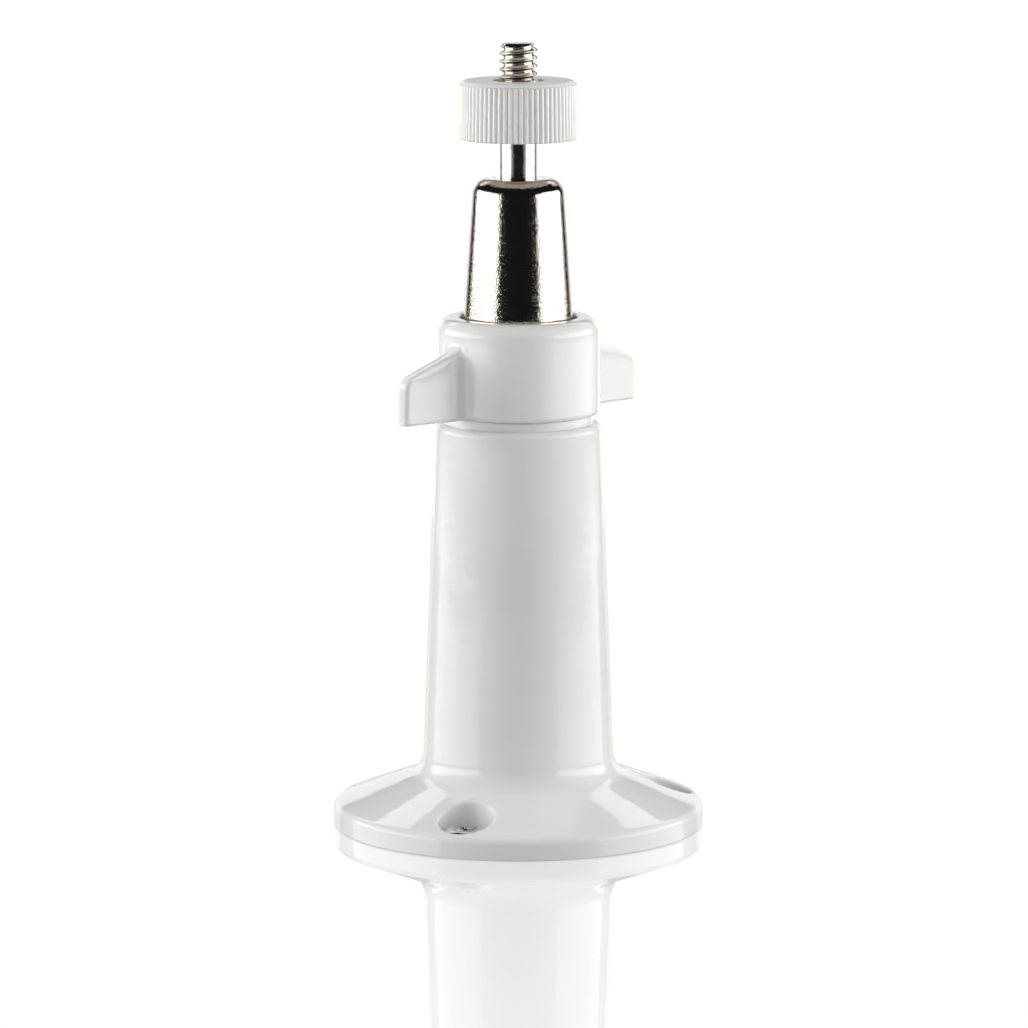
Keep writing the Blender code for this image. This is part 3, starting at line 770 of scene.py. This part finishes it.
def collar_section(collar, barrel, protrusion, half, height):
    """A closed level section of the collar: the barrel with two opposite wings, filleted into it."""
    profile = fin_half(collar, protrusion, half)
    spread = math.asin(profile[-1][0] / barrel)
    arc_steps = 70
    points = []
    for wing in range(2):
        azimuth = collar.wing_azimuth + math.pi * wing
        out = Vector((math.sin(azimuth), -math.cos(azimuth)))
        along = Vector((math.cos(azimuth), math.sin(azimuth)))
        both = [(-side, reach) for side, reach in reversed(profile[1:])] + profile
        for side, reach in both:
            flat = out * (math.sqrt(barrel ** 2 - side ** 2) + reach) + along * side
            points.append(Vector((*flat, height)))
        for step in range(1, arc_steps):
            a = azimuth + spread + (math.pi - 2 * spread) * step / arc_steps
            points.append(Vector((barrel * math.sin(a), -barrel * math.cos(a), height)))
    return points


def collar_rings(collar):
    """The collar's sections up its outside, then its rings down its bore."""
    bottom, top = COLLAR_LOW.z, COLLAR_HIGH.z
    foot = collar.wing_edge * 0.7
    barrel = rounded([(0.0, bottom, 0.0), (collar.radius, bottom, collar.foot_rounding),
                      (collar.radius, top, collar.top_rounding), (0.0, top, 0.0)])[1:-1]
    wing = rounded([
        (0.0, bottom, 0.0),
        (collar.wing_reach, bottom, foot),
        (collar.wing_reach - 0.25 * MM, collar.wing_tip, collar.wing_corner),
        (collar.radius, collar.wing_root, collar.wing_fillet),
        (collar.radius, top, 0.0),
    ])[1:-1]
    heights = sorted({round(point.y, 7) for point in barrel + refined(wing, 0.35 * MM)})
    rings = []
    for height in heights:
        radius = across(barrel, height)
        low = max(0.0, foot - (height - bottom))
        half = collar.wing_thickness / 2 - foot + math.sqrt(foot ** 2 - low ** 2)
        protrusion = max(0.0, across(wing, height) - radius) if height < wing[-1].y else 0.0
        rings.append(collar_section(collar, radius, protrusion, half, height))
    around = collar_section(collar, collar.radius, 0.0, collar.wing_thickness / 2, 0.0)
    inside = rounded([
        (collar.radius - collar.top_rounding, top, 0.0),
        (collar.opening, top, 0.35 * MM),
        (collar.opening, collar.lip_underside, 0.15 * MM),
        (collar.bore, collar.lip_underside, 0.2 * MM),
        (collar.bore, collar.entry_top, 0.15 * MM),
        (collar.entry, collar.entry_top, 0.15 * MM),
        (collar.entry, bottom, 0.2 * MM),
        (collar.radius, bottom, 0.0),
    ])[1:-1]
    for point in inside:
        rings.append([Vector((*(place.xy.normalized() * point.x), point.y)) for place in around])
    return rings


class MOUNT_OT_collar(bpy.types.Operator):
    """Builds the winged collar, with its wings filleted into the barrel"""

    bl_idname = "mount.collar"
    bl_label = "Winged Collar"

    def execute(self, context):
        rings = collar_rings(context.scene.mount_collar)
        piece = lofted("clamping_collar", rings, sharp=32.0)
        seat(piece, "collar", "wing_collar", finish_for(context, "stoved_enamel"))
        return {"FINISHED"}


# Slotted bell


def slot_width(bell, height):
    """Half the slot's width at a height: straight above the ball's centre and round below it."""
    below = max(0.0, BALL_CENTRE - height)
    return math.sqrt(max(0.0, bell.slot_half_width ** 2 - below ** 2))


def bell_outside(bell, height):
    """Outer radius of the bell above its flange."""
    shoulder = BELL_HIGH.z - bell.shoulder
    if height >= shoulder:
        rise = min(bell.shoulder, height - shoulder)
        return bell.top_radius - bell.shoulder + math.sqrt(bell.shoulder ** 2 - rise ** 2)
    if height <= bell.foot_height:
        return bell.foot_radius
    share = (height - bell.foot_height) / (shoulder - bell.foot_height)
    return bell.foot_radius + (bell.top_radius - bell.foot_radius) * share


def bell_inside(bell, height):
    """Radius of the bore, of the spherical seat and of the top hole."""
    if height <= BALL_CENTRE:
        share = (height - BELL_LOW.z) / (BALL_CENTRE - BELL_LOW.z)
        return bell.bore_radius + (bell.seat_radius - bell.bore_radius) * share
    rise = min(bell.seat_radius, height - BALL_CENTRE)
    return max(bell.slot_half_width, math.sqrt(bell.seat_radius ** 2 - rise ** 2))


def slot_heights(bell):
    """Levels from the bell's top down to the slot's round end."""
    shoulder = BELL_HIGH.z - bell.shoulder
    mouth = BALL_CENTRE + math.sqrt(bell.seat_radius ** 2 - bell.slot_half_width ** 2)
    round_steps, straight_steps = 12, 8
    heights = set()
    for step in range(round_steps + 1):
        bend = math.sin(math.pi / 2 * step / round_steps)
        heights |= {shoulder + bell.shoulder * bend, BALL_CENTRE - bell.slot_half_width * bend}
    heights |= {BALL_CENTRE + (shoulder - BALL_CENTRE) * step / straight_steps
                for step in range(straight_steps + 1)}
    return sorted(heights | {mouth}, reverse=True)


def bell_arc(radius, height, width, columns):
    """A level arc round the bell from one side of the slot to the other; the slot faces +Y."""
    start = math.asin(min(1.0, width / radius))
    angles = [start + (math.tau - 2 * start) * column / columns for column in range(columns + 1)]
    return [Vector((radius * math.sin(a), radius * math.cos(a), height)) for a in angles]


class MOUNT_OT_bell(bpy.types.Operator):
    """Builds the chromed bell with its slot, its seat and softened edges"""

    bl_idname = "mount.bell"
    bl_label = "Slotted Bell"

    def execute(self, context):
        bell = context.scene.mount_bell
        columns = 176
        heights = slot_heights(bell)
        outside = [bell_arc(bell_outside(bell, z), z, slot_width(bell, z), columns) for z in heights]
        inside = [bell_arc(bell_inside(bell, z), z, slot_width(bell, z), columns) for z in heights]
        below = rounded([
            (bell_outside(bell, heights[-1]), heights[-1], 0.0),
            (bell.foot_radius, bell.foot_height, 6.0 * MM),
            (bell.foot_radius, bell.flange_top, 0.4 * MM),
            (BELL_HIGH.x, bell.flange_top, 0.25 * MM),
            (BELL_HIGH.x, BELL_LOW.z, 0.25 * MM),
            (bell.bore_radius, BELL_LOW.z, 0.25 * MM),
            (bell_inside(bell, heights[-1]), heights[-1], 0.0),
        ])[1:-1]
        skirt = [bell_arc(point.x, point.y, 0.0, columns) for point in below]
        build = bmesh.new()
        rows = [[build.verts.new(point) for point in row] for row in outside + skirt + inside[::-1]]
        for one, other in zip(rows, rows[1:] + rows[:1]):
            for column in range(columns):
                build.faces.new((one[column], one[column + 1],
                                 other[column + 1], other[column]))
        last = len(rows) - 1
        for level in range(len(heights) - 1):
            for column in (0, columns):
                build.faces.new((rows[level][column], rows[level + 1][column],
                                 rows[last - level - 1][column], rows[last - level][column]))
        bmesh.ops.remove_doubles(build, verts=build.verts, dist=WELD)
        bmesh.ops.recalc_face_normals(build, faces=build.faces)
        sharp = [edge for edge in build.edges if len(edge.link_faces) == 2
                 and edge.calc_face_angle() > math.radians(SHARP)
                 and edge.verts[0].co.z > heights[-1] - PAST]
        bmesh.ops.bevel(build, geom=sharp, offset=bell.edge, segments=3, profile=0.5, affect="EDGES",
                        clamp_overlap=True)
        piece = finish_mesh(build, "slotted_bell")
        seat(piece, "bell", "swivel_bell", finish_for(context, "chrome_plate"))
        return {"FINISHED"}


# Post, washer, ball and stud


class MOUNT_OT_clamp_parts(bpy.types.Operator):
    """Builds the acetal post that carries the ball and the washer under the collar's lip"""

    bl_idname = "mount.clamp_parts"
    bl_label = "Post and Washer"

    def execute(self, context):
        clamp = context.scene.mount_clamp
        cup = context.scene.mount_bell.seat_radius
        acetal = finish_for(context, "natural_acetal")
        dish = arc(BALL_CENTRE, cup, -math.pi / 2, math.asin((POST_HIGH.z - BALL_CENTRE) / cup), 16)
        stem = rounded([
            (dish[-1].x, POST_HIGH.z, 0.0),
            (clamp.cup_radius, POST_HIGH.z, 0.2 * MM),
            (clamp.cup_radius, clamp.flange_top, 0.4 * MM),
            (POST_HIGH.x, clamp.flange_top, 0.25 * MM),
            (POST_HIGH.x, clamp.flange_foot, 0.25 * MM),
            (clamp.pin_radius, clamp.flange_foot, 0.2 * MM),
            (clamp.pin_radius, POST_LOW.z, 0.4 * MM),
            (0.0, POST_LOW.z, 0.0),
        ])
        post = turned("ball_post", dish + stem[1:], 96)
        seat(post, "pedestal", "pressure_post", acetal)
        outer, inner, edge = WASHER_HIGH.x, clamp.washer_opening, clamp.washer_edge
        top, bottom = WASHER_HIGH.z, WASHER_LOW.z
        outline = rounded([(outer, top, edge), (outer, bottom, edge), (inner, bottom, edge),
                           (inner, top, edge)], closed=True)
        washer = turned("lip_washer", outline, 128, closed=True)
        seat(washer, "washer", "thrust_washer", acetal)
        return {"FINISHED"}


class MOUNT_OT_ball(bpy.types.Operator):
    """Builds the ball with its flat and its bore"""

    bl_idname = "mount.ball"
    bl_label = "Pivot Ball"

    def execute(self, context):
        stud = context.scene.mount_stud
        radius = BALL_HIGH.x
        flat = math.asin((stud.ball_flat - BALL_CENTRE) / radius)
        globe = arc(BALL_CENTRE, radius, flat, -math.pi / 2, 48)
        bore = rounded([
            (0.0, stud.bore_floor, 0.0),
            (stud.ball_bore, stud.bore_floor, 0.2 * MM),
            (stud.ball_bore, stud.ball_flat, 0.12 * MM),
            (globe[0].x, stud.ball_flat, 0.0),
        ])
        piece = turned("ball_joint", bore[:-1] + globe, 128)
        seat(piece, "ball", "pivot_ball", finish_for(context, "nickel_plate"))
        return {"FINISHED"}


class MOUNT_OT_stud(bpy.types.Operator):
    """Builds the stud with its tail, its smooth shank and its 1/4 inch thread"""

    bl_idname = "mount.stud"
    bl_label = "Camera Stud"

    def execute(self, context):
        stud = context.scene.mount_stud
        steps, per_pitch, end_slope = 72, 22, 1.1
        bottom, top = stud.thread_bottom, STUD_HIGH.z
        plain = rounded([
            (0.0, STUD_LOW.z, 0.0),
            (stud.tail_radius, STUD_LOW.z, 0.25 * MM),
            (stud.tail_radius, stud.shank_bottom, 0.0),
            (stud.shank_radius, stud.shank_bottom, 0.2 * MM),
            (stud.shank_radius, bottom, 0.0),
        ])

        def radius_for(height, cut):
            lead = min(1.0, (height - bottom) / stud.pitch)
            end = stud.thread_radius - stud.end_chamfer + (top - height) * end_slope
            crest = stud.shank_radius + (stud.thread_radius - stud.shank_radius) * lead
            return min(crest - cut * lead, end)

        levels = math.ceil((top - bottom) / stud.pitch * per_pitch)
        rings = [ring(point.x, point.y, steps) for point in plain]
        rings += thread_rings(bottom, top, levels, steps, stud.pitch, stud.thread_depth, radius_for)[1:]
        rings.append(ring(0.0, top, steps))
        piece = lofted("threaded_stud", rings, closed=False, sharp=50.0)
        seat(piece, "stud", "camera_stud", finish_for(context, "nickel_plate"))
        return {"FINISHED"}


# Lock nut


def rib(turn, ribs):
    """1 at the bottom of the groove between two ribs, falling to 0 on a rounded rib."""
    return 1.0 - math.sqrt(max(0.0, abs(math.sin(turn * ribs / 2))))


def nut_rings(nut):
    """Rings round the lock nut's outline, with its ribs cut into the barrel."""
    steps, fade_steps = nut.ribs * 10, 4
    bottom, top = NUT_LOW.z, NUT_HIGH.z
    lip = top - nut.mouth_depth
    outline = rounded([
        (nut.hole, bottom, 0.2 * MM),
        (nut.foot_radius, bottom, nut.foot_rounding),
        (nut.head_radius, top, nut.top_rounding),
        (nut.mouth, top, 0.15 * MM),
        (nut.mouth, lip, 0.0),
        (nut.pocket, lip, 0.0),
        (nut.pocket, nut.pocket_floor, 0.2 * MM),
        (nut.hole, nut.pocket_floor, 0.15 * MM),
    ], closed=True)
    outline = refined(outline + outline[:1], 1.2 * MM)[:-1]
    barrel = [point for point in outline if point.x > nut.head_radius - nut.top_rounding * 0.6]
    first = outline.index(barrel[0])
    side = rounded([(nut.foot_radius, bottom, 0.0), (nut.head_radius, top, 0.0)])
    band = top - nut.smooth_band
    fading = [band - nut.rib_fade * step / fade_steps for step in range(fade_steps + 1)]
    heights = sorted({point.y for point in barrel} | set(fading))
    skin = [Vector((across(side if z in fading else barrel, z), z)) for z in heights]
    rings = []
    for point in outline[:first] + skin + outline[first + len(barrel):]:
        fade = min(1.0, max(0.0, (band - point.y) / nut.rib_fade)) if point in skin else 0.0
        level = ring(1.0, point.y, steps)
        for index, place in enumerate(level):
            cut = nut.rib_depth * fade * rib(math.tau * index / steps, nut.ribs)
            place.xy = place.xy * (point.x - cut)
        rings.append(level)
    return rings


def bush_rings(nut, pitch):
    """Rings down the outside of the brass bush and back up its thread."""
    steps, per_pitch = 72, 16
    low, high, outer, chamfer = INSERT_LOW.z, INSERT_HIGH.z, INSERT_HIGH.x, nut.bush_chamfer
    corners = ((outer - chamfer, high), (outer, high - chamfer), (outer, low + chamfer),
               (outer - chamfer, low))
    levels = math.ceil((high - low) / pitch * per_pitch)
    return [ring(radius, height, steps) for radius, height in corners] + thread_rings(
        low, high, levels, steps, pitch, nut.bush_groove, lambda height, cut: nut.bush_thread + cut)


class MOUNT_OT_nut(bpy.types.Operator):
    """Builds the ribbed lock nut and the threaded brass bush in it"""

    bl_idname = "mount.nut"
    bl_label = "Lock Nut"

    def execute(self, context):
        nut = context.scene.mount_nut
        piece = lofted("ribbed_nut", nut_rings(nut), sharp=50.0)
        seat(piece, "nut", "lock_nut", finish_for(context, "moulded_plastic"))
        bush = lofted("threaded_bush", bush_rings(nut, context.scene.mount_stud.pitch), sharp=50.0)
        seat(bush, "nut_thread", "lock_nut_insert", finish_for(context, "turned_brass"))
        return {"FINISHED"}


# Studio


SOFTBOX_REACH = 0.62  # metres from the column
SOFTBOX_TURN = math.radians(86.0)  # from straight in front
SOFTBOX_HEIGHT = 0.1875
SOFTBOX_SIZE = (0.96, 0.285)

# The other lights: place, size, the setting with the radiance, and whether reflections show it
LIGHTS = {
    "back_bar": ((0.0, 0.73, 0.62), (1.25, 0.16), "bar_light", True),
    "top_panel": ((0.0, -0.1, 1.1), (1.0, 1.0), "top_light", False),
    "front_fill": ((0.0, -1.3, 0.65), (1.0, 0.5), "front_light", False),
    "left_fill": ((-0.7, -0.02, 0.2), (0.3, 0.5), "side_light", False),
    "right_fill": ((0.7, -0.02, 0.2), (0.3, 0.5), "side_light", False),
}

# Parts of the room, as spans of a direction's X, Y or Z over which they begin or end
BACKDROP_SIDES, BACKDROP_TOP = (0.80, 0.88), (0.255, 0.30)
SKIRT_SIDES, SKIRT_BACK, SKIRT_FOOT = (0.40, 0.92), (0.40, 0.85), (-0.14, -0.10)
SKIRT_BACK_SHARE = 0.3
ROOM_WHITE = 1.1  # radiance of the background to look at

MIRROR_SPAN = (-0.03, -0.14)  # where the floor's mirror starts and stops fading, along Y
SENSOR_WIDTH = 36.0
CLIP = (0.05, 20.0)


def floor_finish(studio):
    """Glossy white acrylic, lit from below; it mirrors less towards the front."""
    material = bpy.data.materials.new("white_acrylic_floor")
    material.use_nodes = True
    tree = material.node_tree
    tree.nodes.remove(tree.nodes["Principled BSDF"])
    place = add_node(tree, "TexCoord", {})
    split = add_node(tree, "SeparateXYZ", {"Vector": place.outputs["Object"]})
    fade = add_node(tree, "MapRange", {
        "From Min": MIRROR_SPAN[0], "From Max": MIRROR_SPAN[1], "To Min": studio.mirror_near,
        "To Max": studio.mirror_far, "Value": split.outputs["Y"]})
    path = add_node(tree, "LightPath", {})
    level = add_node(tree, "MapRange", {
        "To Min": studio.floor_glow, "To Max": studio.floor_white,
        "Value": path.outputs["Is Camera Ray"]})
    glow = add_node(tree, "Emission", {"Strength": level.outputs["Result"]})
    mirror = add_node(tree, "BsdfGlossy", {"Roughness": 0.0, "Color": WHITE})
    mix = add_node(tree, "MixShader", {
        "Fac": fade.outputs["Result"], 1: glow.outputs["Emission"], 2: mirror.outputs["BSDF"]})
    tree.links.new(mix.outputs["Shader"], tree.nodes["Material Output"].inputs["Surface"])
    return material


def panel_light(name, place, aim, size, radiance, reflected=True):
    """A soft rectangular light of a given radiance that the camera doesn't see."""
    lamp = bpy.data.lights.new(name, "AREA")
    lamp.shape = "RECTANGLE"
    lamp.size, lamp.size_y = size
    lamp.energy = radiance * math.pi * size[0] * size[1]
    made = bpy.data.objects.new(name, lamp)
    made.location = place
    made.rotation_euler = (Vector(place) - Vector(aim)).to_track_quat("Z", "Y").to_euler()
    made.visible_camera = False
    made.visible_glossy = reflected
    bpy.context.scene.collection.objects.link(made)


def remap(tree, source, span, result):
    """A smooth clamped remapping of a value."""
    node = add_node(tree, "MapRange", {"From Min": span[0], "From Max": span[1],
                                       "To Min": result[0], "To Max": result[1], "Value": source})
    node.interpolation_type = "SMOOTHSTEP"
    return node.outputs["Result"]


def math_node(tree, operation, *sources):
    """A product or the like of one or two values."""
    node = add_node(tree, "Math", dict(enumerate(sources)))
    node.operation = operation
    return node.outputs["Value"]


def studio_world(studio):
    """A world that is plain white to look at, and a lit backdrop in a dim room to everything else."""
    world = bpy.data.worlds.new("studio")
    bpy.context.scene.world = world
    world.use_nodes = True
    tree = world.node_tree
    place = add_node(tree, "TexCoord", {})
    split = add_node(tree, "SeparateXYZ", {"Vector": place.outputs["Generated"]})
    x, y, z = (split.outputs[axis] for axis in "XYZ")
    behind = remap(tree, y, BACKDROP_SIDES, (0.0, 1.0))
    low = remap(tree, z, BACKDROP_TOP, (1.0, 0.0))
    beside = remap(tree, math_node(tree, "ABSOLUTE", x), SKIRT_SIDES, (0.0, studio.skirt_light))
    ahead = remap(tree, y, SKIRT_BACK, (1.0, SKIRT_BACK_SHARE))
    under = remap(tree, z, SKIRT_FOOT, (1.0, 0.0))
    skirt = math_node(tree, "MULTIPLY", math_node(tree, "MULTIPLY", beside, under), ahead)
    backdrop = remap(tree, math_node(tree, "MULTIPLY", behind, low), (0.0, 1.0),
                     (studio.room_light, studio.backdrop_light))
    room = tree.nodes["Background"]
    room.inputs["Color"].default_value = WHITE
    tree.links.new(math_node(tree, "MAXIMUM", backdrop, skirt), room.inputs["Strength"])
    white = add_node(tree, "Background", {"Color": WHITE, "Strength": ROOM_WHITE})
    path = add_node(tree, "LightPath", {})
    mix = add_node(tree, "MixShader", {
        "Fac": path.outputs["Is Camera Ray"], 1: room.outputs["Background"],
        2: white.outputs["Background"]})
    tree.links.new(mix.outputs["Shader"], tree.nodes["World Output"].inputs["Surface"])


class MOUNT_OT_studio(bpy.types.Operator):
    """Sets up the floor, the soft lights, the white backdrop and the camera"""

    bl_idname = "mount.studio"
    bl_label = "Studio"

    def execute(self, context):
        scene = context.scene
        studio = scene.mount_studio
        aim = Vector((0.0, 0.0, (SOLID_BOX[0].z + SOLID_BOX[1].z) / 2))
        build = bmesh.new()
        bmesh.ops.create_circle(build, cap_ends=True, radius=studio.floor_radius, segments=96)
        bmesh.ops.translate(build, verts=build.verts, vec=(0.0, 0.0, SOLID_BOX[0].z))
        floor = finish_mesh(build, "studio_floor")
        floor.data.materials.append(floor_finish(studio))
        for side, name in ((-1, "left_softbox"), (1, "right_softbox")):
            box = Vector((side * SOFTBOX_REACH * math.sin(SOFTBOX_TURN),
                          -SOFTBOX_REACH * math.cos(SOFTBOX_TURN), SOFTBOX_HEIGHT))
            panel_light(name, box, (0.0, 0.0, box.z), SOFTBOX_SIZE, studio.softbox_light)
        for name, (place, size, setting, reflected) in LIGHTS.items():
            panel_light(name, place, aim, size, getattr(studio, setting), reflected)
        studio_world(studio)

        lens = bpy.data.cameras.new("front_view")
        lens.lens = studio.lens
        lens.sensor_width = SENSOR_WIDTH
        lens.clip_start, lens.clip_end = CLIP
        camera = bpy.data.objects.new("front_view", lens)
        camera.location = (-studio.camera_side, -studio.camera_back, studio.camera_height)
        target = Vector((-studio.camera_side, 0.0, studio.aim_height))
        camera.rotation_euler = (target - camera.location).to_track_quat("-Z", "Y").to_euler()
        scene.collection.objects.link(camera)
        scene.camera = camera
        scene.view_settings.view_transform = "Standard"
        scene.view_settings.look = "None"
        return {"FINISHED"}


class MOUNT_PT_panel(bpy.types.Panel):
    """Lists the steps that build the mount"""

    bl_idname = "MOUNT_PT_panel"
    bl_label = "Camera Mount"
    bl_space_type = "VIEW_3D"
    bl_region_type = "UI"
    bl_category = "Camera Mount"

    def draw(self, context):
        column = self.layout.column(align=True)
        for operator in OPERATORS:
            column.operator(operator.bl_idname)


SETTINGS = {
    "mount_casting": CastingSettings,
    "mount_screws": ScrewSettings,
    "mount_collar": CollarSettings,
    "mount_bell": BellSettings,
    "mount_clamp": ClampSettings,
    "mount_stud": StudSettings,
    "mount_nut": NutSettings,
    "mount_finishes": FinishSettings,
    "mount_studio": StudioSettings,
}

OPERATORS = (
    MOUNT_OT_casting,
    MOUNT_OT_screws,
    MOUNT_OT_collar,
    MOUNT_OT_clamp_parts,
    MOUNT_OT_bell,
    MOUNT_OT_ball,
    MOUNT_OT_stud,
    MOUNT_OT_nut,
    MOUNT_OT_studio,
)


def register():
    """Registers the settings, the operators and the panel."""
    for name, group in SETTINGS.items():
        bpy.utils.register_class(group)
        setattr(bpy.types.Scene, name, PointerProperty(type=group))
    for operator in OPERATORS:
        bpy.utils.register_class(operator)
    bpy.utils.register_class(MOUNT_PT_panel)


def unregister():
    """Removes what register added."""
    bpy.utils.unregister_class(MOUNT_PT_panel)
    for operator in reversed(OPERATORS):
        bpy.utils.unregister_class(operator)
    for name, group in reversed(list(SETTINGS.items())):
        delattr(bpy.types.Scene, name)
        bpy.utils.unregister_class(group)


def main():
    """Builds every piece and the studio."""
    register()
    for operator in OPERATORS:
        group, name = operator.bl_idname.split(".")
        getattr(getattr(bpy.ops, group), name)()


if __name__ == "__main__":
    main()
